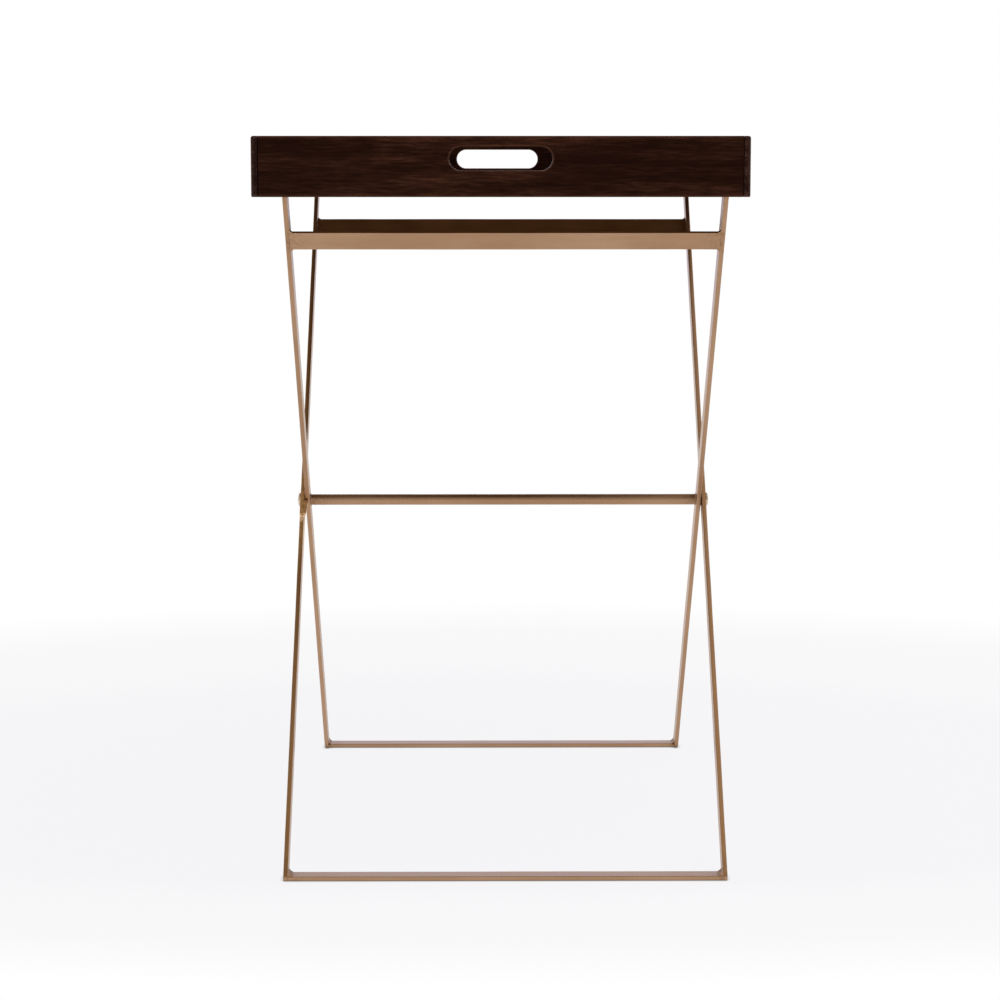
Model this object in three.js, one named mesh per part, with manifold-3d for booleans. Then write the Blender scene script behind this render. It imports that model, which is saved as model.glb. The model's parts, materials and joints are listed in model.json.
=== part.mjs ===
// Folding tray table: a loose wooden tray with a hand hole in each end wall, standing on
// two crossed rectangular frames of flat bar that pivot together at mid height.
//
// Millimetres, +Z up. X runs across the frames, Y runs along the tray, and the origin is
// on the floor under the middle of the tray. The inner frame leans towards -Y at the top,
// the outer frame towards +Y.
import * as THREE from "three";
import { mergeVertices } from "three/addons/utils/BufferGeometryUtils.js";
import Module from "manifold-3d";

// Room left between pieces that touch or are welded or glued together.
const GAP = 0.3;

// Tray
const TABLE_HEIGHT = 762;
const TRAY_WIDTH = 489;
const TRAY_LENGTH = 711;
const WALL_HEIGHT = 59.5;
const WALL_THICKNESS = 9.5;
const RABBET_DEPTH = 3;
const GROOVE_DEPTH = 3;
const PANEL_THICKNESS = 6;
const TONGUE_THICKNESS = 4;
const HAND_HOLE_LENGTH = 101.2;
const HAND_HOLE_HEIGHT = 23.1;
const HAND_HOLE_CENTRE_BELOW_RIM = 22.1;

// Frames: legs, foot bars and top bars are one stock, the rails a thinner and wider one.
const FRAME_HEIGHT = 712;
const INNER_FRAME_WIDTH = 447;
const LEAN = THREE.MathUtils.degToRad(40);
const BAR_THICKNESS = 4.76;
const BAR_WIDTH = 19;
const RAIL_THICKNESS = 3.2;
const RAIL_WIDTH = 22.5;
const RAIL_CENTRE_FROM_PIVOT = 400;
const FRAME_OFFSET_X = 5;

// Pivots
const LEG_GAP = 1.2;
const PIVOT_HOLE_RADIUS = 3.3;
const BOLT_RADIUS = 3;
const BOLT_REACH_IN_SPREADER = 18;
const HEAD_RADIUS = 7.9;
const HEAD_HEIGHT = 3.2;
const HEAD_RIM = 0.8;
const WASHER_RADIUS = 7;
const SPREADER_RADIUS = 6;

// Stop tab: an offcut welded on the near edge of the outer left leg, just below the pivot,
// where the near edge of the inner left leg comes to rest on it.
const STOP_LENGTH = 18;
const STOP_THICKNESS = 3.2;
const STOP_WIDTH_TOP = 9.3;
const STOP_WIDTH_BOTTOM = 7.2;
const STOP_CLEARANCE = 0.6;

// Worked out from the above
const PIVOT_HEIGHT = FRAME_HEIGHT / 2;
const OUTER_FRAME_WIDTH = INNER_FRAME_WIDTH + 2 * (LEG_GAP + BAR_THICKNESS);
const INNER_CLEAR_WIDTH = INNER_FRAME_WIDTH - 2 * BAR_THICKNESS;
const WASHER_THICKNESS = LEG_GAP - 2 * GAP;
const LEG_HALF_CUT = BAR_WIDTH / 2 / Math.cos(LEAN);
const END_BAR_OUTER_Y = (PIVOT_HEIGHT - BAR_THICKNESS) * Math.tan(LEAN) + LEG_HALF_CUT;
const WALL_BOTTOM = TABLE_HEIGHT - WALL_HEIGHT;
const WALL_MIDDLE = TABLE_HEIGHT - WALL_HEIGHT / 2;
const PANEL_BOTTOM = FRAME_HEIGHT + GAP;
const INSIDE_WIDTH = TRAY_WIDTH - 2 * WALL_THICKNESS;
const INSIDE_LENGTH = TRAY_LENGTH - 2 * WALL_THICKNESS;
const CUT_MARGIN = 1;

const wasm = await Module();
wasm.setup();

const wood = { color: 0x2a1710, roughness: 0.42, metalness: 0 };
const panelWood = { color: 0x2f1a12, roughness: 0.45, metalness: 0 };
const brass = { color: 0xa07c55, roughness: 0.34, metalness: 1 };
const boltBrass = { color: 0xab8862, roughness: 0.28, metalness: 1 };
const washerMetal = { color: 0x6e5a45, roughness: 0.4, metalness: 1 };

function addMesh(group, name, geometry, finish) {
  const mesh = new THREE.Mesh(geometry, new THREE.MeshStandardMaterial(finish));
  mesh.name = name;
  group.add(mesh);
  return mesh;
}

// --- Solids -------------------------------------------------------------------------

function toSolid(geometry) {
  const bare = geometry.clone();
  bare.deleteAttribute("normal");
  bare.deleteAttribute("uv");
  const merged = mergeVertices(bare, 1e-4);
  const mesh = new wasm.Mesh({
    numProp: 3,
    vertProperties: new Float32Array(merged.attributes.position.array),
    triVerts: new Uint32Array(merged.index.array),
  });
  return new wasm.Manifold(mesh);
}

function toGeometry(solid) {
  const mesh = solid.getMesh();
  const geometry = new THREE.BufferGeometry();
  geometry.setAttribute("position", new THREE.BufferAttribute(mesh.vertProperties, 3));
  geometry.setIndex(new THREE.BufferAttribute(mesh.triVerts, 1));
  geometry.computeVertexNormals();
  return geometry;
}

function cut(geometry, ...tools) {
  const start = toSolid(geometry);
  return toGeometry(tools.reduce((left, tool) => left.subtract(toSolid(tool)), start));
}

function fuse(geometry, ...others) {
  const start = toSolid(geometry);
  return toGeometry(others.reduce((whole, other) => whole.add(toSolid(other)), start));
}

// A box given by its lowest and highest corners.
function boxBetween(low, high) {
  const size = high.map((value, axis) => value - low[axis]);
  const box = new THREE.BoxGeometry(...size);
  return box.translate(...high.map((value, axis) => (value + low[axis]) / 2));
}

// A (y, z) outline swept along X from x0 to x1.
function sweepAlongX(outline, x0, x1) {
  const shape = outline instanceof THREE.Shape ? outline : new THREE.Shape(outline);
  const solid = new THREE.ExtrudeGeometry(shape, {
    depth: x1 - x0,
    bevelEnabled: false,
    curveSegments: 24,
  });
  const yzx = new THREE.Matrix4().makeBasis(
    new THREE.Vector3(0, 1, 0),
    new THREE.Vector3(0, 0, 1),
    new THREE.Vector3(1, 0, 0),
  );
  return solid.applyMatrix4(yzx).translate(x0, 0, 0);
}

// A turned part about the X axis: points are (radius, x) and run towards +X.
function turnAboutX(points, segments = 40) {
  const profile = points.map(([radius, x]) => new THREE.Vector2(radius, x));
  return new THREE.LatheGeometry(profile, segments).rotateZ(-Math.PI / 2);
}

// --- Tray ---------------------------------------------------------------------------

// The groove that takes the bottom panel's tongue: as one box, cut from every wall.
function panelGroove() {
  const halfWidth = INSIDE_WIDTH / 2 + GROOVE_DEPTH;
  const halfLength = INSIDE_LENGTH / 2 + GROOVE_DEPTH;
  const low = [-halfWidth, -halfLength, PANEL_BOTTOM];
  const high = [halfWidth, halfLength, PANEL_BOTTOM + TONGUE_THICKNESS + 2 * GAP];
  return boxBetween(low, high);
}

// A side wall runs the full length. A rabbet at each end takes the end wall, so only a
// thin lip of the side wall shows beside it.
function sideWall(side) {
  const outer = (side * TRAY_WIDTH) / 2;
  const inner = side * (TRAY_WIDTH / 2 - WALL_THICKNESS);
  const lip = side * (TRAY_WIDTH / 2 - WALL_THICKNESS + RABBET_DEPTH);
  const beyond = inner - side * CUT_MARGIN;
  const [x0, x1] = [outer, inner].sort((a, b) => a - b);
  const [r0, r1] = [lip, beyond].sort((a, b) => a - b);
  const half = TRAY_LENGTH / 2;
  const board = boxBetween([x0, -half, WALL_BOTTOM], [x1, half, TABLE_HEIGHT]);
  const low = WALL_BOTTOM - CUT_MARGIN;
  const high = TABLE_HEIGHT + CUT_MARGIN;
  const nearRabbet = boxBetween(
    [r0, -half - CUT_MARGIN, low],
    [r1, -half + WALL_THICKNESS, high],
  );
  const farRabbet = boxBetween(
    [r0, half - WALL_THICKNESS, low],
    [r1, half + CUT_MARGIN, high],
  );
  return cut(board, nearRabbet, farRabbet, panelGroove());
}

function roundEndedSlot(length, height, middle) {
  const radius = height / 2;
  const reach = length / 2 - radius;
  const slot = new THREE.Path();
  slot.absarc(reach, middle, radius, -Math.PI / 2, Math.PI / 2, false);
  slot.absarc(-reach, middle, radius, Math.PI / 2, (3 * Math.PI) / 2, false);
  slot.closePath();
  return slot;
}

// An end wall sits in the rabbets of the side walls, and has the hand hole near its rim.
function endWall(end) {
  const halfWidth = TRAY_WIDTH / 2 - WALL_THICKNESS + RABBET_DEPTH - GAP;
  const outline = new THREE.Shape([
    new THREE.Vector2(-halfWidth, WALL_BOTTOM),
    new THREE.Vector2(halfWidth, WALL_BOTTOM),
    new THREE.Vector2(halfWidth, TABLE_HEIGHT),
    new THREE.Vector2(-halfWidth, TABLE_HEIGHT),
  ]);
  const holeMiddle = TABLE_HEIGHT - HAND_HOLE_CENTRE_BELOW_RIM;
  outline.holes.push(roundEndedSlot(HAND_HOLE_LENGTH, HAND_HOLE_HEIGHT, holeMiddle));
  const thickness = WALL_THICKNESS - GAP;
  const board = new THREE.ExtrudeGeometry(outline, {
    depth: thickness,
    bevelEnabled: false,
    curveSegments: 24,
  });
  board.rotateX(Math.PI / 2);
  const nearFace = end < 0 ? -TRAY_LENGTH / 2 : TRAY_LENGTH / 2 - thickness;
  board.translate(0, nearFace + thickness, 0);
  return cut(board, panelGroove());
}

// The panel's full thickness lies between the walls, and its tongue goes into the groove.
function bottomPanel() {
  const bottom = PANEL_BOTTOM + GAP;
  const slab = (reach, thickness) => {
    const x = INSIDE_WIDTH / 2 + reach - GAP;
    const y = INSIDE_LENGTH / 2 + reach - GAP;
    return boxBetween([-x, -y, bottom], [x, y, bottom + thickness]);
  };
  return fuse(slab(0, PANEL_THICKNESS), slab(GROOVE_DEPTH, TONGUE_THICKNESS));
}

function makeTray() {
  const tray = new THREE.Group();
  addMesh(tray, "tray_front_wall", endWall(-1), wood);
  addMesh(tray, "tray_back_wall", endWall(1), wood);
  addMesh(tray, "tray_left_wall", sideWall(-1), wood);
  addMesh(tray, "tray_right_wall", sideWall(1), wood);
  addMesh(tray, "tray_bottom_panel", bottomPanel(), panelWood);
  return tray;
}

// --- Frames: (y, z) is measured from the pivot ----------------------------------------

// A point on a frame's own axes: "along" from the pivot towards the frame's top, and
// "out" across the leg towards the side that the frame's top leans to. lean is -1 for
// the frame whose top leans to -Y, and 1 for the other.
function onFrame(lean, along, out) {
  const y = lean * (along * Math.sin(LEAN) + out * Math.cos(LEAN));
  const z = along * Math.cos(LEAN) - out * Math.sin(LEAN);
  return new THREE.Vector2(y, z);
}

// A leg is cut level at the floor and at the top, and its two toes are trimmed upright,
// flush with the foot bar and the top bar.
function legOutline(lean) {
  const half = PIVOT_HEIGHT;
  const heel = half * Math.tan(LEAN) - LEG_HALF_CUT;
  const toe = END_BAR_OUTER_Y;
  const halfTurn = [
    [heel, half],
    [toe, half],
    [toe, half - BAR_THICKNESS],
  ];
  const corners = [...halfTurn, ...halfTurn.map(([y, z]) => [-y, -z])];
  const outline = new THREE.Shape(corners.map(([y, z]) => new THREE.Vector2(lean * y, z)));
  const hole = new THREE.Path();
  hole.absarc(0, 0, PIVOT_HOLE_RADIUS, 0, 2 * Math.PI, false);
  outline.holes.push(hole);
  return outline;
}

// The flat bar between the legs at the top (level 1) or at the floor (level -1).
function endBarOutline(lean, level) {
  const outer = lean * level * END_BAR_OUTER_Y;
  const inner = outer - lean * level * BAR_WIDTH;
  const face = level * PIVOT_HEIGHT;
  const back = face - level * BAR_THICKNESS;
  const corners = [
    [outer, face],
    [inner, face],
    [inner, back],
    [outer, back],
  ];
  return corners.map(([y, z]) => new THREE.Vector2(y, z));
}

// The rail lies in the plane of its legs, flush with their outer edges.
function railOutline(lean) {
  const low = RAIL_CENTRE_FROM_PIVOT - RAIL_WIDTH / 2;
  const high = RAIL_CENTRE_FROM_PIVOT + RAIL_WIDTH / 2;
  const face = BAR_WIDTH / 2;
  const back = face - RAIL_THICKNESS;
  return [
    onFrame(lean, low, back),
    onFrame(lean, low, face),
    onFrame(lean, high, face),
    onFrame(lean, high, back),
  ];
}

function addFrame(group, prefix, lean, width) {
  const outside = width / 2;
  const inside = outside - BAR_THICKNESS;
  const barEnd = inside - GAP;
  const leg = legOutline(lean);
  const footBar = endBarOutline(lean, -1);
  const topBar = endBarOutline(lean, 1);
  const rail = railOutline(lean);
  addMesh(group, prefix + "_left_leg", sweepAlongX(leg, -outside, -inside), brass);
  addMesh(group, prefix + "_right_leg", sweepAlongX(leg, inside, outside), brass);
  addMesh(group, prefix + "_foot_bar", sweepAlongX(footBar, -barEnd, barEnd), brass);
  addMesh(group, prefix + "_top_bar", sweepAlongX(topBar, -barEnd, barEnd), brass);
  addMesh(group, prefix + "_rail", sweepAlongX(rail, -barEnd, barEnd), brass);
}

function stopTab() {
  const top = -LEG_HALF_CUT * Math.sin(LEAN) - STOP_CLEARANCE;
  const tab = new THREE.ExtrudeGeometry(
    new THREE.Shape([
      new THREE.Vector2(0, top - STOP_LENGTH),
      new THREE.Vector2(STOP_WIDTH_BOTTOM, top - STOP_LENGTH),
      new THREE.Vector2(STOP_WIDTH_TOP, top),
      new THREE.Vector2(0, top),
    ]),
    { depth: STOP_THICKNESS, bevelEnabled: false },
  );
  const legEdge = BAR_WIDTH / 2 + GAP;
  const onLeg = new THREE.Matrix4().makeBasis(
    new THREE.Vector3(1, 0, 0),
    new THREE.Vector3(0, Math.sin(LEAN), Math.cos(LEAN)),
    new THREE.Vector3(0, -Math.cos(LEAN), Math.sin(LEAN)),
  );
  tab.translate(-OUTER_FRAME_WIDTH / 2, 0, legEdge);
  return tab.applyMatrix4(onLeg);
}

// --- Pivots ---------------------------------------------------------------------------

// A low domed head outside the outer leg, and a shank through both legs into the spreader.
function pivotBolt() {
  const domeSteps = 8;
  const dome = [];
  for (let i = 0; i <= domeSteps; i += 1) {
    const angle = (i / domeSteps) * (Math.PI / 2);
    const x = (HEAD_HEIGHT - HEAD_RIM) * (1 - Math.cos(angle));
    dome.push([HEAD_RADIUS * Math.sin(angle), x]);
  }
  const underLegs = HEAD_HEIGHT + GAP + 2 * BAR_THICKNESS + LEG_GAP;
  const end = underLegs + GAP + BOLT_REACH_IN_SPREADER;
  const shank = [
    [HEAD_RADIUS, HEAD_HEIGHT],
    [BOLT_RADIUS, HEAD_HEIGHT],
    [BOLT_RADIUS, end],
    [0, end],
  ];
  return turnAboutX([...dome, ...shank]);
}

function washer() {
  return turnAboutX([
    [PIVOT_HOLE_RADIUS, 0],
    [WASHER_RADIUS, 0],
    [WASHER_RADIUS, WASHER_THICKNESS],
    [PIVOT_HOLE_RADIUS, WASHER_THICKNESS],
    [PIVOT_HOLE_RADIUS, 0],
  ]);
}

// The round bar on the pivot axis, drilled at both ends for the bolts.
function spreaderBar() {
  const end = INNER_CLEAR_WIDTH / 2 - GAP;
  const holeBottom = end - BOLT_REACH_IN_SPREADER - CUT_MARGIN;
  return turnAboutX([
    [0, -holeBottom],
    [PIVOT_HOLE_RADIUS, -holeBottom],
    [PIVOT_HOLE_RADIUS, -end],
    [SPREADER_RADIUS, -end],
    [SPREADER_RADIUS, end],
    [PIVOT_HOLE_RADIUS, end],
    [PIVOT_HOLE_RADIUS, holeBottom],
    [0, holeBottom],
  ]);
}

function addPivots(group) {
  addMesh(group, "spreader_bar", spreaderBar(), brass);
  for (const [name, turn] of [["left", 0], ["right", Math.PI]]) {
    const side = new THREE.Group();
    side.rotation.z = turn;
    const bolt = addMesh(side, "pivot_bolt_" + name, pivotBolt(), boltBrass);
    bolt.position.x = -OUTER_FRAME_WIDTH / 2 - GAP - HEAD_HEIGHT;
    const ring = addMesh(side, "pivot_washer_" + name, washer(), washerMetal);
    ring.position.x = -INNER_FRAME_WIDTH / 2 - LEG_GAP + GAP;
    group.add(side);
  }
}

// --- Assembly ---------------------------------------------------------------------------

const outerFrame = new THREE.Group();
addFrame(outerFrame, "outer", 1, OUTER_FRAME_WIDTH);
addMesh(outerFrame, "stop_tab", stopTab(), brass);

const innerFrame = new THREE.Group();
addFrame(innerFrame, "inner", -1, INNER_FRAME_WIDTH);
addPivots(innerFrame);

const stand = new THREE.Group();
stand.position.set(FRAME_OFFSET_X, 0, PIVOT_HEIGHT);
stand.add(outerFrame, innerFrame);

const table = new THREE.Group();
table.add(makeTray(), stand);

export default table;
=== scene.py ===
"""Folding tray table: a dark wooden tray on a folding stand of antique-brass flat bar.

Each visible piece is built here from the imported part, with rounded edges, welds, grain
and finish, and rides on the part's own body. Metres, +Z up, +X right, +Y away.
"""

import json
import math

import bmesh
import bpy
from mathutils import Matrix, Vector, noise


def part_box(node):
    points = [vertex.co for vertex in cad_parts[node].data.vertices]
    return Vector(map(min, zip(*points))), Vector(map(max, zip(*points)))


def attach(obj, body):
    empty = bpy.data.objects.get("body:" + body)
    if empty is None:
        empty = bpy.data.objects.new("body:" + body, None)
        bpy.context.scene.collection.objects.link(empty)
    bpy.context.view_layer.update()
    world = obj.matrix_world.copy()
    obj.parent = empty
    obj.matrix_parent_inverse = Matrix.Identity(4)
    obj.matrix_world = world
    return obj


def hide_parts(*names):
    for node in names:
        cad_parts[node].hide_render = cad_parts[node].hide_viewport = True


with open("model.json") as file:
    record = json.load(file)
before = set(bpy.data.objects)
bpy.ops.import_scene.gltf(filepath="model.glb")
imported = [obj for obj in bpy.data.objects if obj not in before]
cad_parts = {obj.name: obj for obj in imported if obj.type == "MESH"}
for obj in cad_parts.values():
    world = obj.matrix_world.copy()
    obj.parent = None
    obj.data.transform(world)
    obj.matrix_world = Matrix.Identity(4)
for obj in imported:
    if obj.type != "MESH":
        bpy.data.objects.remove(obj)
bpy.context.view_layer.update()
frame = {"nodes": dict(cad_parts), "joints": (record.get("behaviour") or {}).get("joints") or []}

# Without a seed, noise_vector starts from the clock and every run bends the bars differently.
NOISE_SEED = 1
noise.seed_set(NOISE_SEED)

MM = 0.001
X_AXIS = Vector((1, 0, 0))
Y_AXIS = Vector((0, 1, 0))
Z_AXIS = Vector((0, 0, 1))
SAME_PLACE = 1e-5
NEARBY = 0.1 * MM

# The stand: the legs' angle to upright, and the axis that the two frames turn on.
LEAN = math.radians(40)
PIVOT = Vector(frame["joints"][0]["pos_m"])

# Edges sharper than SHARP are rounded. FLAT is the widest angle inside one flat face.
SHARP = math.radians(25)
FLAT = math.radians(0.5)

# How far from a weld the metal is browned, how steeply that fades, and how far from the
# stop tab a painted highlight, in painted glints, brightens the metal.
WELD_REACH = 26 * MM
WELD_FADE_POWER = 1.5
PAINTED_HIGHLIGHT_REACH = 85 * MM

# Each strip of faces in a rounded edge is narrower than this, and every other face wider.
ARRIS_STRIP = 0.8 * MM


# --- Node helpers ---------------------------------------------------------------------

def add_node(tree, kind, inputs=None, **settings):
    """A shader node with its settings made, and each input set to a value or linked."""
    made = tree.nodes.new("ShaderNode" + kind)
    for name, value in settings.items():
        setattr(made, name, value)
    for name, value in (inputs or {}).items():
        if isinstance(value, bpy.types.NodeSocket):
            tree.links.new(value, made.inputs[name])
        else:
            made.inputs[name].default_value = value
    return made


def stretched(tree, source, scale):
    """The vector socket source, scaled by one number for each axis."""
    return add_node(tree, "VectorMath", {0: source, 1: scale}, operation="MULTIPLY").outputs[0]


def noise_value(tree, vector, scale=1.0, detail=3.0, roughness=0.5, distortion=0.0):
    """Noise from 0 to 1, mostly between 0.3 and 0.7."""
    inputs = {"Vector": vector, "Scale": scale, "Detail": detail, "Roughness": roughness}
    inputs["Distortion"] = distortion
    return add_node(tree, "TexNoise", inputs).outputs["Fac"]


def remapped(tree, value, low, high, to_low, to_high):
    """Eases the range low to high into to_low to to_high, and holds it there beyond."""
    inputs = {"Value": value, "From Min": low, "From Max": high}
    inputs.update({"To Min": to_low, "To Max": to_high})
    return add_node(tree, "MapRange", inputs, interpolation_type="SMOOTHSTEP").outputs[0]


def maths(tree, operation, first, second):
    return add_node(tree, "Math", {0: first, 1: second}, operation=operation).outputs[0]


def blended(tree, amount, first, second):
    """Two colours mixed. Inputs 6 and 7 and output 2 are the Mix node's colour sockets."""
    inputs = {0: amount, 6: first, 7: second}
    return add_node(tree, "Mix", inputs, data_type="RGBA").outputs[2]


def ramp(tree, value, stops):
    """A colour ramp through (position, colour) stops."""
    made = add_node(tree, "ValToRGB", {"Fac": value})
    elements = made.color_ramp.elements
    while len(elements) < len(stops):
        elements.new(0.5)
    for element, (position, colour) in zip(elements, stops):
        element.position = position
        element.color = (*colour, 1)
    return made.outputs["Color"]


def new_material(name):
    material = bpy.data.materials.new(name)
    material.use_nodes = True
    tree = material.node_tree
    tree.nodes.clear()
    output = tree.nodes.new("ShaderNodeOutputMaterial")
    return material, tree, output


def attribute(tree, name, output):
    return add_node(tree, "Attribute", attribute_name=name).outputs[output]


# --- Materials ------------------------------------------------------------------------

BRASS_DARK = (0.395, 0.232, 0.132)
BRASS_LIGHT = (0.475, 0.298, 0.182)
BRASS_PATINA = (0.22, 0.112, 0.046)
# Painted highlight: a bright gold laid on round the stop tab.
PAINTED_HIGHLIGHT_BRASS = (0.92, 0.62, 0.35, 1)


def brass_material(name, dark, light, patina, roughness):
    """Antique brass: brushed along the bar, softly mottled, browner and rougher by the welds.

    Near the stop tab a painted highlight, in painted glints, makes the metal brighter.
    """
    material, tree, output = new_material(name)
    grain = attribute(tree, "grain", "Vector")
    weld = attribute(tree, "weld", "Fac")
    patches = noise_value(tree, stretched(tree, grain, (9, 34, 34)), detail=4, roughness=0.55)
    streaks = noise_value(tree, stretched(tree, grain, (14, 1500, 1500)), detail=3)
    specks = noise_value(tree, grain, scale=700, detail=3, roughness=0.7)
    spots = noise_value(tree, grain, scale=240, detail=5, roughness=0.75)

    tone = blended(tree, remapped(tree, patches, 0.3, 0.7, 0, 1), (*dark, 1), (*light, 1))
    tone = blended(tree, remapped(tree, streaks, 0.35, 0.75, 0, 0.4), tone, (*dark, 1))
    scorch = maths(tree, "MULTIPLY", weld, remapped(tree, spots, 0.4, 0.62, 0, 0.85))
    tone = blended(tree, scorch, tone, (*patina, 1))
    # Painted highlight: near the stop tab the colour is brightened in painted glints.
    painted_glints = remapped(tree, spots, 0.36, 0.6, 0.35, 1.0)
    painted_highlight = maths(tree, "MULTIPLY", attribute(tree, "painted_highlight", "Fac"), painted_glints)
    tone = blended(tree, painted_highlight, tone, PAINTED_HIGHLIGHT_BRASS)

    low, high = roughness
    gloss = remapped(tree, maths(tree, "ADD", streaks, patches), 0.7, 1.3, low, high)
    gloss = maths(tree, "ADD", gloss, maths(tree, "MULTIPLY", scorch, 0.16))
    height = maths(tree, "ADD", maths(tree, "MULTIPLY", streaks, 0.5), specks)
    pits = maths(tree, "MULTIPLY", weld, maths(tree, "MULTIPLY", spots, 4.0))
    height = maths(tree, "ADD", height, pits)
    bump = add_node(tree, "Bump", {"Strength": 0.35, "Distance": 0.00005, "Height": height})
    surface = add_node(
        tree,
        "BsdfPrincipled",
        {"Base Color": tone, "Metallic": 1.0, "Roughness": gloss, "Normal": bump.outputs[0]},
    )
    tree.links.new(surface.outputs[0], output.inputs["Surface"])
    return material


PORE_COLOUR = (0.004, 0.0012, 0.0006, 1)
LACQUER_TINT = (1.0, 0.5, 0.36, 1)


def wood_material(name, ramp_stops, roughness):
    """Stained wood under a satin lacquer, with the grain along the board.

    Where the mark is above 0 the colour is lighter, partly the stain thinned with use and partly a
    painted highlight on the edges; below 0 it is darker, in the end seams.
    """
    material, tree, output = new_material(name)
    grain = attribute(tree, "grain", "Vector")
    warp = noise_value(tree, stretched(tree, grain, (5, 18, 18)), detail=2)
    bands = noise_value(tree, stretched(tree, grain, (7, 64, 64)), detail=6, distortion=0.25)
    streaks = noise_value(tree, stretched(tree, grain, (42, 460, 460)), detail=6, roughness=0.72)
    pores = noise_value(tree, stretched(tree, grain, (90, 2300, 2300)), detail=2)
    stain = noise_value(tree, grain, scale=7, detail=2)

    figure = maths(tree, "MULTIPLY", bands, 0.36)
    figure = maths(tree, "ADD", figure, maths(tree, "MULTIPLY", streaks, 0.44))
    figure = maths(tree, "ADD", figure, maths(tree, "MULTIPLY", warp, 0.20))
    tone = ramp(tree, figure, ramp_stops)
    darker = remapped(tree, stain, 0.35, 0.65, 0.3, 0.0)
    tone = blended(tree, darker, tone, (*ramp_stops[0][1], 1))
    pore_lines = remapped(tree, pores, 0.56, 0.66, 0, 1)
    tone = blended(tree, maths(tree, "MULTIPLY", pore_lines, 0.45), tone, PORE_COLOUR)
    # Lighter on the rounded edges and along the outer edges: finish thinned with use, and painted
    # highlight. Darker in the end seams.
    wear_and_highlight = attribute(tree, "wear_and_highlight", "Fac")
    worn_and_lit = maths(tree, "MAXIMUM", wear_and_highlight, 0.0)
    seam_darkening = maths(tree, "MAXIMUM", maths(tree, "MULTIPLY", wear_and_highlight, -0.9), 0.0)
    rubbed_and_lit = maths(tree, "MULTIPLY", worn_and_lit, remapped(tree, streaks, 0.4, 0.6, 0.4, 1.0))
    tone = blended(tree, rubbed_and_lit, tone, (*ramp_stops[-1][1], 1))
    tone = blended(tree, seam_darkening, tone, (*ramp_stops[0][1], 1))

    low, high = roughness
    gloss = remapped(tree, streaks, 0.35, 0.65, low, high)
    gloss = maths(tree, "SUBTRACT", gloss, maths(tree, "MULTIPLY", worn_and_lit, 0.12))
    height = maths(tree, "SUBTRACT", streaks, maths(tree, "MULTIPLY", pore_lines, 0.8))
    bump = add_node(tree, "Bump", {"Strength": 0.3, "Distance": 0.00012, "Height": height})
    surface = add_node(
        tree,
        "BsdfPrincipled",
        {
            "Base Color": tone,
            "Roughness": gloss,
            "Specular IOR Level": 0.12,
            "Specular Tint": LACQUER_TINT,
            "Normal": bump.outputs[0],
        },
    )
    tree.links.new(surface.outputs[0], output.inputs["Surface"])
    return material


WALNUT_STOPS = [
    (0.39, (0.0070, 0.0007, 0.0002)),
    (0.45, (0.0115, 0.0022, 0.0006)),
    (0.50, (0.0205, 0.0058, 0.0026)),
    (0.555, (0.0400, 0.0132, 0.0070)),
    (0.62, (0.0820, 0.0285, 0.0150)),
]
END_GRAIN_STOPS = [
    (0.38, (0.0055, 0.0018, 0.0018)),
    (0.50, (0.0160, 0.0060, 0.0048)),
    (0.63, (0.0800, 0.0400, 0.0300)),
]
UNSTAINED_STOPS = [
    (0.36, (0.060, 0.036, 0.016)),
    (0.50, (0.105, 0.066, 0.033)),
    (0.65, (0.160, 0.105, 0.058)),
]

MATERIALS = {
    "frame_brass": brass_material(
        "frame_brass", BRASS_DARK, BRASS_LIGHT, BRASS_PATINA, (0.28, 0.38)
    ),
    "spreader_brass": brass_material(
        "spreader_brass", BRASS_DARK, BRASS_LIGHT, BRASS_PATINA, (0.42, 0.52)
    ),
    "bolt_brass": brass_material(
        "bolt_brass", (0.70, 0.55, 0.40), (0.82, 0.66, 0.50), (0.40, 0.26, 0.14), (0.2, 0.3)
    ),
    "washer_metal": brass_material(
        "washer_metal", (0.16, 0.12, 0.09), (0.24, 0.18, 0.13), (0.1, 0.06, 0.03), (0.35, 0.5)
    ),
    "tray_wood": wood_material("tray_wood", WALNUT_STOPS, (0.34, 0.46)),
    "tray_panel": wood_material("tray_panel", WALNUT_STOPS, (0.38, 0.5)),
}
UNDERSIDE = wood_material("tray_underside", UNSTAINED_STOPS, (0.55, 0.7))
END_GRAIN = wood_material("tray_end_grain", END_GRAIN_STOPS, (0.4, 0.5))


# --- Mesh helpers ---------------------------------------------------------------------

def cad_solid(node):
    """The CAD solid's flat faces, each made one face again, as a new bmesh."""
    solid = bmesh.new()
    solid.from_mesh(frame["nodes"][node].data)
    bmesh.ops.remove_doubles(solid, verts=solid.verts, dist=1e-6)
    bmesh.ops.dissolve_limit(solid, angle_limit=FLAT, verts=solid.verts, edges=solid.edges)
    return solid


def rounded(solid, radius_of, segments=4):
    """The solid with every sharp edge rounded to radius_of(edge), as a new bmesh."""
    weights = solid.edges.layers.float.new("bevel_weight_edge")
    sharp = [e for e in solid.edges if e.is_manifold and e.calc_face_angle() > SHARP]
    radii = {e: radius_of(e) for e in sharp}
    widest = max(radii.values())
    for edge, radius in radii.items():
        edge[weights] = radius / widest
    mesh = bpy.data.meshes.new("rounding")
    solid.to_mesh(mesh)
    solid.free()
    holder = bpy.data.objects.new("rounding", mesh)
    bpy.context.scene.collection.objects.link(holder)
    bevel = holder.modifiers.new("round", "BEVEL")
    bevel.limit_method = "WEIGHT"
    bevel.width = widest
    bevel.segments = segments
    bevel.use_clamp_overlap = False
    result = bmesh.new()
    result.from_object(holder, bpy.context.evaluated_depsgraph_get())
    bpy.data.objects.remove(holder)
    bpy.data.meshes.remove(mesh)
    return result


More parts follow.
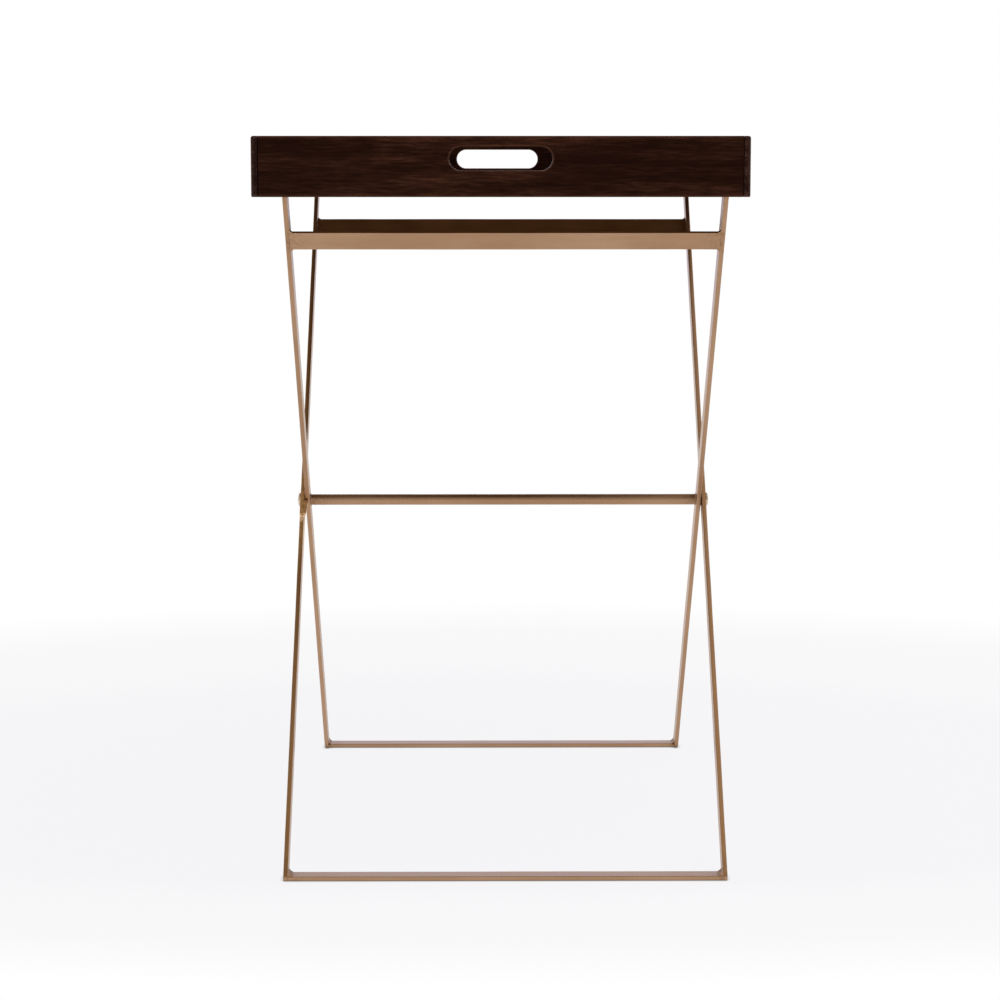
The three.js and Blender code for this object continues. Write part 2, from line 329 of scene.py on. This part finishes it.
def cut_across(solid, place, normal):
    """Adds an edge to every face that the plane through place crosses."""
    everything = solid.verts[:] + solid.edges[:] + solid.faces[:]
    bmesh.ops.bisect_plane(solid, geom=everything, dist=1e-7, plane_co=place, plane_no=normal)


def slice_along(solid, origin, along, step):
    """Cuts the faces into short lengths, so that the piece can carry waviness and weld marks."""
    places = [(v.co - origin).dot(along) for v in solid.verts]
    for k in range(math.ceil(min(places) / step), math.floor(max(places) / step) + 1):
        cut_across(solid, origin + along * k * step, along)


LONG_WAVES_PER_METRE = 18
SHORT_WAVES_PER_METRE = 60
SHORT_WAVE_SHARE = 0.4


def make_wavy(solid, size):
    """Bends every surface by a fraction of a millimetre, as on hand-dressed bar."""
    for vertex in solid.verts:
        long_wave = noise.noise_vector(vertex.co * LONG_WAVES_PER_METRE) * size
        short_wave = noise.noise_vector(vertex.co * SHORT_WAVES_PER_METRE) * size
        vertex.co += long_wave + short_wave * SHORT_WAVE_SHARE
        vertex.co.z = max(vertex.co.z, 0.0)


def mark_arrises(solid):
    """Marks the points inside a rounded edge, where the finish is thinned with use and a painted
    highlight lightens it.
    """
    marks = solid.verts.layers.float.new("wear_and_highlight")
    widths = {f: f.calc_area() / max(e.calc_length() for e in f.edges) for f in solid.faces}
    for vertex in solid.verts:
        vertex[marks] = float(all(widths[f] < ARRIS_STRIP for f in vertex.link_faces))


def nearness(place, points, reach):
    """1 at the nearest of the points, falling to 0 at reach from it."""
    nearest = min(((place - p).length for p in points), default=reach)
    return max(0.0, 1 - nearest / reach)


def write_attributes(mesh, origin, along, across, weld_points=(), painted_highlight_points=()):
    """Writes grain coordinates, how near each point is to a weld, and the painted highlight near
    the given points.

    The grain runs along the piece. The offset gives each piece its own part of the pattern.
    """
    third = along.cross(across)
    offset = Vector((origin.z * 3.1, origin.x * 1.7, origin.y * 2.3))
    grain, welds, painted_highlight = [], [], []
    for vertex in mesh.vertices:
        place = vertex.co - origin
        own = Vector((place.dot(along), place.dot(across), place.dot(third)))
        grain.extend(own + offset)
        welds.append(nearness(vertex.co, weld_points, WELD_REACH) ** WELD_FADE_POWER)
        painted_highlight.append(nearness(vertex.co, painted_highlight_points, PAINTED_HIGHLIGHT_REACH))
    mesh.attributes.new("grain", "FLOAT_VECTOR", "POINT").data.foreach_set("vector", grain)
    mesh.attributes.new("weld", "FLOAT", "POINT").data.foreach_set("value", welds)
    mesh.attributes.new("painted_highlight", "FLOAT", "POINT").data.foreach_set("value", painted_highlight)


def finished(
    name, solid, body, slot, along, across, nodes=(), weld_points=(), origin=None, finish=None,
    painted_highlight_points=(),
):
    """Makes the piece, with smooth shading that keeps its flats flat, and puts it on its body."""
    mesh = bpy.data.meshes.new(name)
    bmesh.ops.recalc_face_normals(solid, faces=solid.faces)
    for face in solid.faces:
        face.smooth = True
    solid.to_mesh(mesh)
    solid.free()
    if origin is None:
        corners = [Vector(v.co) for v in mesh.vertices]
        origin = sum(corners, Vector()) / len(corners)
    write_attributes(mesh, origin, along, across, weld_points, painted_highlight_points)
    mesh.materials.append(MATERIALS[finish or slot])
    piece = bpy.data.objects.new(name, mesh)
    bpy.context.scene.collection.objects.link(piece)
    normals = piece.modifiers.new("normals", "WEIGHTED_NORMAL")
    normals.weight = 80
    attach(piece, body)
    if nodes:
        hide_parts(*nodes)
    return piece


def middle(node):
    """The middle of a CAD node's box."""
    low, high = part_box(node)
    return (low + high) / 2


# --- Tray -----------------------------------------------------------------------------

LOW_WALLS = ("tray_left_wall", "tray_front_wall")
HIGH_WALLS = ("tray_right_wall", "tray_back_wall")
TRAY_LOW = Vector([min(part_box(n)[0][k] for n in LOW_WALLS) for k in range(3)])
TRAY_HIGH = Vector([max(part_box(n)[1][k] for n in HIGH_WALLS) for k in range(3)])
ARRIS_RADIUS = 1.3 * MM
LONG_TOP_RADIUS = 2.4 * MM
INSIDE_ARRIS_RADIUS = 0.9 * MM
SEAM_RADIUS = 0.5 * MM
HOLE_RIM_RADIUS = 1.9 * MM
# Width of the lighter strip along the outer edges: finish thinned with use, and painted highlight.
WORN_AND_LIT_STRIP = 3.4 * MM

# The hand holes lie within HOLE_REACH of the middle, and between these heights.
HOLE_REACH = 60 * MM
HOLE_BOTTOM = TRAY_LOW.z + 15 * MM
HOLE_TOP = TRAY_HIGH.z - 5 * MM

# A rim edge further in than this is on the inside of its wall.
INSIDE_DEPTH = 9 * MM

# The darkening in the end seams keeps this far from the tray's outer edges, and is only on
# faces this near the tray's ends.
SEAM_CLEARANCE = 3 * MM
END_DEPTH = 1 * MM

# A face is end grain, or underside, where its normal is this much along the grain, or down.
FACING = 0.7


def tray_edge_radius(edge):
    """Outer arrises and the hand holes are well rounded, and the seams hardly at all."""
    first, second = [v.co for v in edge.verts]

    def both_at(k, limit):
        return abs(first[k] - limit[k]) < SAME_PLACE and abs(second[k] - limit[k]) < SAME_PLACE

    along_length = abs(first.x - second.x) < SAME_PLACE
    on_rim = both_at(2, TRAY_HIGH)
    outer_sides = sum(both_at(k, limit) for k in range(3) for limit in (TRAY_LOW, TRAY_HIGH))
    if outer_sides >= 2:
        return LONG_TOP_RADIUS if on_rim and along_length else ARRIS_RADIUS
    level = (first.z + second.z) / 2
    if HOLE_BOTTOM < level < HOLE_TOP and abs(first.x) < HOLE_REACH:
        return HOLE_RIM_RADIUS
    across = 0 if along_length else 1
    inside = abs(first[across]) < TRAY_HIGH[across] - INSIDE_DEPTH
    return INSIDE_ARRIS_RADIUS if on_rim and inside else SEAM_RADIUS


def edge_depth(place):
    """How far a place on the tray's outside is from the nearest outer edge.

    It is the second of its three distances to the tray's sides, because the first is 0.
    """
    return sorted(min(place[k] - TRAY_LOW[k], TRAY_HIGH[k] - place[k]) for k in range(3))[1]


def mark_edges_and_seams(solid):
    """Marks the lighter strip along the tray's outer edges, partly finish thinned with use and
    partly painted highlight, and the darker end seams.
    """
    for k, axis in enumerate((X_AXIS, Y_AXIS, Z_AXIS)):
        for place in (TRAY_LOW[k] + WORN_AND_LIT_STRIP, TRAY_HIGH[k] - WORN_AND_LIT_STRIP):
            cut_across(solid, axis * place, axis)
    marks = solid.verts.layers.float["wear_and_highlight"]
    for vertex in solid.verts:
        depth = edge_depth(vertex.co)
        on_end = TRAY_HIGH.y - abs(vertex.co.y) < END_DEPTH and HOLE_REACH < abs(vertex.co.x)
        if vertex[marks] > 0 and on_end and depth > SEAM_CLEARANCE:
            vertex[marks] = -1
        else:
            vertex[marks] = max(vertex[marks], 1 - depth / WORN_AND_LIT_STRIP, 0)


def make_tray():
    """The five boards, with end grain on the walls' ends and bare wood under the panel."""
    boards = {
        "tray_front_wall": X_AXIS,
        "tray_back_wall": X_AXIS,
        "tray_left_wall": Y_AXIS,
        "tray_right_wall": Y_AXIS,
        "tray_bottom_panel": Y_AXIS,
    }
    for node, along in boards.items():
        solid = rounded(cad_solid(node), tray_edge_radius)
        mark_arrises(solid)
        mark_edges_and_seams(solid)
        is_panel = node == "tray_bottom_panel"
        slot = "tray_panel" if is_panel else "tray_wood"
        board = finished(
            node + "_look", solid, "tray", slot, along, Z_AXIS, [node], origin=middle(node)
        )
        board.data.materials.append(UNDERSIDE if is_panel else END_GRAIN)
        for face in board.data.polygons:
            turned_down = face.normal.z < -FACING
            shows_ends = abs(face.normal.dot(along)) > FACING
            face.material_index = int(turned_down if is_panel else shows_ends)


# --- Stand ----------------------------------------------------------------------------

BAR_ARRIS = 0.6 * MM
FOOT_BAR_ARRIS = 1.2 * MM
FOOT_CORNER = 2.4 * MM
PIVOT_HOLE_ARRIS = 0.1 * MM
PIVOT_HOLE_REACH = 5 * MM
INTO_LEG = 1.1 * MM
WAVINESS = 0.12 * MM
SLICE_LENGTH = 9 * MM
SHORTEST_BAR = 50 * MM

# Weld metal. It starts a little in from the bars' edges, and some of it is sunk in the bars.
WELD_INSET = 0.6 * MM
RAIL_WELD_INSET = 0.3 * MM
WELD_SUNK = 0.4 * MM
WELD_STEP = 0.8 * MM
WELD_FEWEST_STEPS = 6
WELD_ARC_STEPS = 6
WELD_ROUND_SHARE = 0.55
WELD_RIPPLE = 0.10
WELD_RIPPLE_TURN = 2.3
WELD_LUMPS = 0.22
WELD_LUMPS_PER_METRE = 420
END_WELD_RADIUS = {"outer": 4.8 * MM, "inner": 3.4 * MM}
SIDE_WELD_RADIUS = 2.6 * MM
RAIL_WELD_RADIUS = 3.0 * MM


def frame_axis(prefix):
    """The direction of a frame's legs, upwards. The outer frame's top leans to +Y."""
    lean = 1 if prefix == "outer" else -1
    return Vector((0, lean * math.sin(LEAN), math.cos(LEAN)))


def leg_faces(prefix):
    """Where the inward faces of the two legs are, in X."""
    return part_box(prefix + "_left_leg")[1].x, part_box(prefix + "_right_leg")[0].x


def weld_places(prefix):
    """The middles of the welded corners of one frame."""
    places = []
    for bar in ("foot_bar", "top_bar", "rail"):
        centre = middle(prefix + "_" + bar)
        places += [Vector((x, centre.y, centre.z)) for x in leg_faces(prefix)]
    return places


def make_leg(prefix, side):
    """One leg, cut level at the floor, with the pivot hole through it."""
    node = f"{prefix}_{side}_leg"
    along = frame_axis(prefix)
    outer_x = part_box(node)[0 if side == "left" else 1].x

    def radius_of(edge):
        ends = [v.co for v in edge.verts]
        from_pivot = max(abs(p[k] - PIVOT[k]) for p in ends for k in (1, 2))
        if from_pivot < PIVOT_HOLE_REACH:
            return PIVOT_HOLE_ARRIS
        at_corner = all(p.z < NEARBY and abs(p.x - outer_x) < NEARBY for p in ends)
        return FOOT_CORNER if at_corner and prefix == "inner" else BAR_ARRIS

    solid = rounded(cad_solid(node), radius_of, 3)
    slice_along(solid, PIVOT, along, SLICE_LENGTH)
    make_wavy(solid, WAVINESS)
    # The painted highlight round the stop tab, on the outer left leg.
    painted_highlight = [middle("stop_tab")] if node == "outer_left_leg" else []
    finished(
        node + "_look", solid, prefix + "_frame", "frame_brass", along, X_AXIS, [node],
        weld_places(prefix), origin=middle(node), painted_highlight_points=painted_highlight,
    )


def bar_edge_radius(edge):
    """Only a bar's long edges are rounded, those that stand on the floor the most."""
    first, second = [v.co for v in edge.verts]
    if abs(first.x - second.x) < SHORTEST_BAR:
        return 0
    return FOOT_BAR_ARRIS if max(first.z, second.z) < NEARBY else BAR_ARRIS


def make_bar(prefix, bar, across):
    """A bar between the legs, let into their arrises so that no seam shows."""
    node = prefix + "_" + bar
    solid = cad_solid(node)
    centre = middle(node)
    for vertex in solid.verts:
        vertex.co.x += math.copysign(INTO_LEG, vertex.co.x - centre.x)
    solid = rounded(solid, bar_edge_radius, 3)
    slice_along(solid, centre, X_AXIS, SLICE_LENGTH)
    make_wavy(solid, WAVINESS)
    finished(
        node + "_look", solid, prefix + "_frame", "frame_brass", X_AXIS, across, [node],
        weld_places(prefix), origin=centre,
    )


def weld_strip(start, end, first, second, radius):
    """Weld metal in the inner corner between two faces that run off along first and second.

    Its face is part hollow and part straight, with ripples and lumps along its length.
    """
    solid = bmesh.new()
    length = (end - start).length
    steps = max(WELD_FEWEST_STEPS, round(length / WELD_STEP))
    sunk = -WELD_SUNK
    rings = []
    for i in range(steps + 1):
        place = start.lerp(end, i / steps)
        ripple = WELD_RIPPLE * math.sin(i * WELD_RIPPLE_TURN)
        lumps = WELD_LUMPS * noise.noise(place * WELD_LUMPS_PER_METRE)
        reach = radius * (1 + ripple + lumps)
        section = [(reach, sunk), (sunk, sunk), (sunk, reach)]
        for k in range(WELD_ARC_STEPS + 1):
            t = k / WELD_ARC_STEPS
            turn = t * math.pi / 2
            curve = (reach * (1 - math.cos(turn)), reach * (1 - math.sin(turn)))
            chord = (reach * t, reach * (1 - t))
            share = WELD_ROUND_SHARE
            section.append(tuple(share * a + (1 - share) * b for a, b in zip(curve, chord)))
        rings.append([solid.verts.new(place + first * u + second * v) for u, v in section])
    count = len(rings[0])
    for low, high in zip(rings, rings[1:]):
        for k in range(count):
            solid.faces.new((low[k], low[(k + 1) % count], high[(k + 1) % count], high[k]))
    solid.faces.new(rings[0])
    solid.faces.new(reversed(rings[-1]))
    return solid


def join_solids(parts):
    """One bmesh with all the parts in it, which it frees."""
    whole = bmesh.new()
    for part in parts:
        mesh = bpy.data.meshes.new("part")
        part.to_mesh(mesh)
        part.free()
        whole.from_mesh(mesh)
        bpy.data.meshes.remove(mesh)
    return whole


def make_welds(prefix):
    """The welds of one frame: in the corners of its end bars, and above and below its rail."""
    strips = []
    inset = WELD_INSET
    radius = END_WELD_RADIUS[prefix]
    for bar, level in (("foot_bar", 1), ("top_bar", -1)):
        low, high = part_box(prefix + "_" + bar)
        z = high.z if level > 0 else low.z
        inner_side = math.copysign(1, -low.y)
        y = high.y if inner_side > 0 else low.y
        for x, way_in in zip(leg_faces(prefix), (X_AXIS, -X_AXIS)):
            start, end = Vector((x, low.y + inset, z)), Vector((x, high.y - inset, z))
            strips.append(weld_strip(start, end, way_in, Z_AXIS * level, radius))
            start, end = Vector((x, y, low.z + inset)), Vector((x, y, high.z - inset))
            strips.append(weld_strip(start, end, way_in, Y_AXIS * inner_side, SIDE_WELD_RADIUS))
    along = frame_axis(prefix)
    normal = X_AXIS.cross(along)
    points = [v.co for v in frame["nodes"][prefix + "_rail"].data.vertices]
    heights = [(p - PIVOT).dot(along) for p in points]
    depths = [(p - PIVOT).dot(normal) for p in points]
    near, far = min(depths) + RAIL_WELD_INSET, max(depths) - RAIL_WELD_INSET
    for height, away in ((max(heights), along), (min(heights), -along)):
        for x, way_in in zip(leg_faces(prefix), (X_AXIS, -X_AXIS)):
            base = Vector((x, PIVOT.y, PIVOT.z)) + along * height
            start, end = base + normal * near, base + normal * far
            strips.append(weld_strip(start, end, way_in, away, RAIL_WELD_RADIUS))
    finished(
        prefix + "_welds", join_solids(strips), prefix + "_frame", "frame_brass", X_AXIS, Z_AXIS,
        weld_points=weld_places(prefix),
    )


def turned(points, centre, segments=64):
    """A turned part about the line through centre along X: points are (radius, x from centre)."""
    solid = bmesh.new()
    rings = []
    for radius, x in points:
        if radius < SAME_PLACE:
            rings.append([solid.verts.new(centre + X_AXIS * x)])
            continue
        ring = []
        for k in range(segments):
            turn = 2 * math.pi * k / segments
            place = Vector((x, radius * math.sin(turn), radius * math.cos(turn)))
            ring.append(solid.verts.new(centre + place))
        rings.append(ring)
    for low, high in zip(rings, rings[1:]):
        for k in range(segments):
            corners = [low[k % len(low)], low[(k + 1) % len(low)]]
            corners += [high[(k + 1) % len(high)], high[k % len(high)]]
            unique = list(dict.fromkeys(corners))
            if len(unique) > 2:
                solid.faces.new(unique)
    return solid


SPREADER_WELD = 2.2 * MM
SPREADER_WELD_STEPS = 6
SPREADER_INTO_LEG = 0.35 * MM
SPREADER_STEPS = 60
SPREADER_WAVINESS = 0.084 * MM


def make_spreader():
    """The round bar on the pivot axis, welded round its ends to the inner legs."""
    low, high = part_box("spreader_bar")
    centre = (low + high) / 2
    radius = (high.z - low.z) / 2
    half = (high.x - low.x) / 2 + SPREADER_INTO_LEG
    weld = SPREADER_WELD
    end_points = [(0, -half), (radius + weld, -half)]
    for k in range(1, SPREADER_WELD_STEPS + 1):
        turn = k / SPREADER_WELD_STEPS * math.pi / 2
        flare = weld * (1 - math.sin(turn))
        end_points.append((radius + flare, -half + weld * (1 - math.cos(turn))))
    inner = half - weld
    places = [-inner + 2 * inner * k / SPREADER_STEPS for k in range(1, SPREADER_STEPS)]
    points = end_points + [(radius, x) for x in places]
    points += [(r, -x) for r, x in reversed(end_points)]
    solid = turned(points, centre, 48)
    make_wavy(solid, SPREADER_WAVINESS)
    ends = [centre - X_AXIS * half, centre + X_AXIS * half]
    finished(
        "spreader_bar_look", solid, "inner_frame", "frame_brass", X_AXIS, Z_AXIS,
        ["spreader_bar"], ends, origin=centre, finish="spreader_brass",
    )


BOLT_HEAD_HEIGHT = 3.2 * MM
BOLT_RIM = 0.8 * MM
BOLT_SHANK_RADIUS = 3 * MM
BOLT_NECK = 0.3 * MM
BOLT_DOME_TURN = math.pi / 2 * 0.93
BOLT_DOME_STEPS = 14


def make_bolt(side):
    """A low domed head outside the outer leg, on a shank through both legs."""
    node = "pivot_bolt_" + side
    low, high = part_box(node)
    way = 1 if side == "left" else -1
    tip = Vector((low.x if way > 0 else high.x, (low.y + high.y) / 2, (low.z + high.z) / 2))
    radius = (high.z - low.z) / 2
    length = high.x - low.x
    height, rim, shank = BOLT_HEAD_HEIGHT, BOLT_RIM, BOLT_SHANK_RADIUS
    points = []
    for k in range(BOLT_DOME_STEPS + 1):
        turn = k / BOLT_DOME_STEPS * BOLT_DOME_TURN
        points.append((radius * math.sin(turn), (height - rim) * (1 - math.cos(turn))))
    points += [(radius, height - rim * 0.8), (radius, height - rim * 0.3), (radius * 0.97, height)]
    points += [(shank * 1.08, height), (shank, height + BOLT_NECK), (shank, length), (0, length)]
    solid = turned([(r, way * x) for r, x in points], tip)
    finished(
        node + "_look", solid, "inner_frame", "bolt_brass", Z_AXIS, X_AXIS, [node], [tip],
        origin=tip,
    )


WASHER_ARRIS = 0.12 * MM


def make_washer(side):
    """The thin washer between the inner and outer legs of one side."""
    node = "pivot_washer_" + side
    solid = rounded(cad_solid(node), lambda edge: WASHER_ARRIS, 2)
    finished(
        node + "_look", solid, "inner_frame", "washer_metal", Z_AXIS, X_AXIS, [node],
        origin=middle(node),
    )


TAB_ARRIS = 0.6 * MM
TAB_SUNK = 0.35 * MM
TAB_SLICE_LENGTH = 1.2 * MM
TAB_WAVINESS = 0.16 * MM


def make_stop_tab():
    """The offcut on the near edge of the outer left leg, with weld metal below it."""
    along = frame_axis("outer")
    outward = along.cross(X_AXIS)
    outward = outward if outward.y < 0 else -outward
    solid = rounded(cad_solid("stop_tab"), lambda edge: TAB_ARRIS, 3)
    for vertex in solid.verts:
        vertex.co -= outward * TAB_SUNK
    slice_along(solid, PIVOT, along, TAB_SLICE_LENGTH)
    make_wavy(solid, TAB_WAVINESS)
    centre = middle("stop_tab")
    # The tab carries the painted highlight.
    finished(
        "stop_tab_look", solid, "outer_frame", "frame_brass", along, X_AXIS, ["stop_tab"],
        [centre], origin=centre, painted_highlight_points=[centre],
    )
    make_bead(along, outward, centre)


BEAD_LENGTH = 9 * MM
BEAD_HEIGHT = 2.4 * MM
BEAD_INSET = 0.1 * MM
BEAD_BELOW_TAB = 0.3 * MM
BEAD_SUNK = 0.15 * MM
BEAD_THICKNESS = 0.5 * MM
BEAD_TAPER_POWER = 0.8
BEAD_LEAST_LIFT = 0.9
BEAD_LUMPS = 0.6
BEAD_LUMPS_PER_METRE = 700
BEAD_RIPPLE = 0.2
BEAD_RIPPLE_TURN = 1.1

# The tab's inner face lies this far off the leg's edge, on the CAD model.
TAB_GAP = 0.3 * MM


def make_bead(along, outward, centre):
    """A lumpy wedge of weld metal on the leg's edge, just below the stop tab."""
    left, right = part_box("outer_left_leg")[0].x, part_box("outer_left_leg")[1].x
    points = [v.co for v in frame["nodes"]["stop_tab"].data.vertices]
    lowest = min((p - PIVOT).dot(along) for p in points)
    surface = min((p - PIVOT).dot(outward) for p in points) - TAB_GAP
    half_width = (right - left) / 2 - BEAD_INSET
    base = Vector(((left + right) / 2, PIVOT.y, PIVOT.z)) + outward * surface + along * lowest
    solid = bmesh.new()
    rows, columns = 30, 16
    grid = []
    for i in range(rows + 1):
        t = i / rows
        slope = (1 - t) ** BEAD_TAPER_POWER
        ripple = BEAD_RIPPLE * math.sin(i * BEAD_RIPPLE_TURN)
        row = []
        for k in range(columns + 1):
            s = 2 * k / columns - 1
            place = base - along * (t * BEAD_LENGTH + BEAD_BELOW_TAB) + X_AXIS * (half_width * s)
            lift = BEAD_HEIGHT * slope * (1 - abs(s) ** 3)
            lumps = BEAD_LUMPS * noise.noise(place * BEAD_LUMPS_PER_METRE)
            lift *= BEAD_LEAST_LIFT + lumps + ripple
            row.append(solid.verts.new(place + outward * (lift - BEAD_SUNK)))
        grid.append(row)
    for upper, lower in zip(grid, grid[1:]):
        for k in range(columns):
            solid.faces.new((upper[k], upper[k + 1], lower[k + 1], lower[k]))
    back = bmesh.ops.extrude_face_region(solid, geom=solid.faces[:])
    for item in back["geom"]:
        if isinstance(item, bmesh.types.BMVert):
            item.co -= outward * BEAD_THICKNESS
    # The bead carries the painted highlight.
    finished(
        "stop_tab_weld", solid, "outer_frame", "frame_brass", along, X_AXIS, weld_points=[centre],
        painted_highlight_points=[centre],
    )


def make_stand():
    for prefix in ("outer", "inner"):
        for side in ("left", "right"):
            make_leg(prefix, side)
        for bar in ("foot_bar", "top_bar"):
            make_bar(prefix, bar, Y_AXIS)
        make_bar(prefix, "rail", frame_axis(prefix))
        make_welds(prefix)
    make_spreader()
    for side in ("left", "right"):
        make_bolt(side)
        make_washer(side)
    make_stop_tab()


# --- Floor, light and camera ----------------------------------------------------------

FLOOR_RADIUS = 9
FLOOR_LEVEL = -0.2 * MM

# How far from the middle the floor has faded to white, and how far its contact shade goes.
FADE_BEHIND = 1.35
FADE_IN_FRONT = 0.64
FADE_SIDEWAYS = 1.7
CONTACT_REACH = 8 * MM
FLOOR_TONES = [
    (0.0, (0.845, 0.845, 0.865)),
    (0.5, (0.85, 0.85, 0.87)),
    (0.8, (0.91, 0.91, 0.92)),
    (1.0, (1, 1, 1)),
]
FLOOR_MATT_TONES = [
    (0.0, (0.13, 0.13, 0.13)),
    (0.6, (0.12, 0.12, 0.12)),
    (1.0, (0, 0, 0)),
]


def make_floor():
    """A pale floor that glows softly, fades to the white of the room, and darkens at the feet."""
    material, tree, output = new_material("studio_floor")
    place = add_node(tree, "TexCoord").outputs["Object"]
    x, y, _ = add_node(tree, "SeparateXYZ", {0: place}).outputs
    back = maths(tree, "DIVIDE", maths(tree, "MAXIMUM", y, 0.0), FADE_BEHIND)
    front = maths(tree, "DIVIDE", maths(tree, "MINIMUM", y, 0.0), FADE_IN_FRONT)
    depth = maths(tree, "ADD", back, front)
    width = maths(tree, "DIVIDE", x, FADE_SIDEWAYS)
    depth_squared = maths(tree, "MULTIPLY", depth, depth)
    width_squared = maths(tree, "MULTIPLY", width, width)
    distance = maths(tree, "SQRT", maths(tree, "ADD", depth_squared, width_squared), 0.0)
    tone = ramp(tree, distance, FLOOR_TONES)
    matt = ramp(tree, distance, FLOOR_MATT_TONES)
    contact = add_node(tree, "AmbientOcclusion", {"Distance": CONTACT_REACH}).outputs["AO"]
    strength = remapped(tree, contact, 0, 0.9, 0.2, 1.0)
    glow = add_node(tree, "Emission", {"Color": tone, "Strength": strength})
    diffuse = add_node(tree, "BsdfDiffuse", {"Color": matt})
    both = add_node(tree, "AddShader", {0: glow.outputs[0], 1: diffuse.outputs[0]})
    tree.links.new(both.outputs[0], output.inputs["Surface"])
    solid = bmesh.new()
    bmesh.ops.create_circle(solid, cap_ends=True, radius=FLOOR_RADIUS, segments=96)
    mesh = bpy.data.meshes.new("floor")
    solid.to_mesh(mesh)
    solid.free()
    mesh.materials.append(material)
    floor = bpy.data.objects.new("floor", mesh)
    floor.location.z = FLOOR_LEVEL
    bpy.context.scene.collection.objects.link(floor)


LIGHT_FROM_FRONT = (0.54, 0.54, 0.55, 1)
LIGHT_FROM_BEHIND = (0.88, 0.90, 1.08, 1)
LIGHT_FROM_ABOVE = (0.36, 0.275, 0.125, 1)
WHITE = (1, 1, 1, 1)


def make_room():
    """White all round to look at. The light it gives is dimmer from in front and above."""
    world = bpy.data.worlds.new("studio")
    world.use_nodes = True
    bpy.context.scene.world = world
    tree = world.node_tree
    tree.nodes.clear()
    way = add_node(tree, "TexCoord").outputs["Generated"]
    _, y, z = add_node(tree, "SeparateXYZ", {0: way}).outputs
    behind = remapped(tree, y, -0.75, 0.6, 0, 1)
    around = blended(tree, behind, LIGHT_FROM_FRONT, LIGHT_FROM_BEHIND)
    light = blended(tree, remapped(tree, z, 0.4, 0.95, 0, 1), around, LIGHT_FROM_ABOVE)
    seen = add_node(tree, "LightPath").outputs["Is Camera Ray"]
    colour = blended(tree, seen, light, WHITE)
    background = add_node(tree, "Background", {"Color": colour})
    output = tree.nodes.new("ShaderNodeOutputWorld")
    tree.links.new(background.outputs[0], output.inputs["Surface"])


SOFTBOX_PLACE = Vector((0.65, -0.5, 2.4))
SOFTBOX_AIM = Vector((0, 0, 0.4))
SOFTBOX_SIDE = 1.8
SOFTBOX_WATTS = 6.0


def make_softbox():
    """A weak square light over the table, a little to the right and to the front."""
    light = bpy.data.lights.new("overhead_softbox", "AREA")
    light.shape = "RECTANGLE"
    light.size = light.size_y = SOFTBOX_SIDE
    light.energy = SOFTBOX_WATTS
    holder = bpy.data.objects.new("overhead_softbox", light)
    holder.location = SOFTBOX_PLACE
    holder.rotation_euler = (SOFTBOX_AIM - SOFTBOX_PLACE).to_track_quat("-Z", "Y").to_euler()
    bpy.context.scene.collection.objects.link(holder)


CAMERA_PLACE = (-0.01655, -2.8328, 0.7381)
CAMERA_PITCH = math.pi / 2 - 0.1224
CAMERA_YAW = -0.0063
SENSOR_WIDTH_MM = 36
LENS_MM = 90.58
LENS_SHIFT = -0.03


def make_camera():
    """In front of the table's near end, level with its tray and tilted a little down."""
    camera = bpy.data.cameras.new("camera")
    camera.sensor_width = SENSOR_WIDTH_MM
    camera.lens = LENS_MM
    camera.shift_y = LENS_SHIFT
    holder = bpy.data.objects.new("camera", camera)
    holder.location = CAMERA_PLACE
    holder.rotation_euler = (CAMERA_PITCH, 0, CAMERA_YAW)
    bpy.context.scene.collection.objects.link(holder)
    bpy.context.scene.camera = holder


make_camera()
make_tray()
make_stand()
make_floor()
make_room()
make_softbox()
bpy.context.scene.view_settings.view_transform = "Standard"
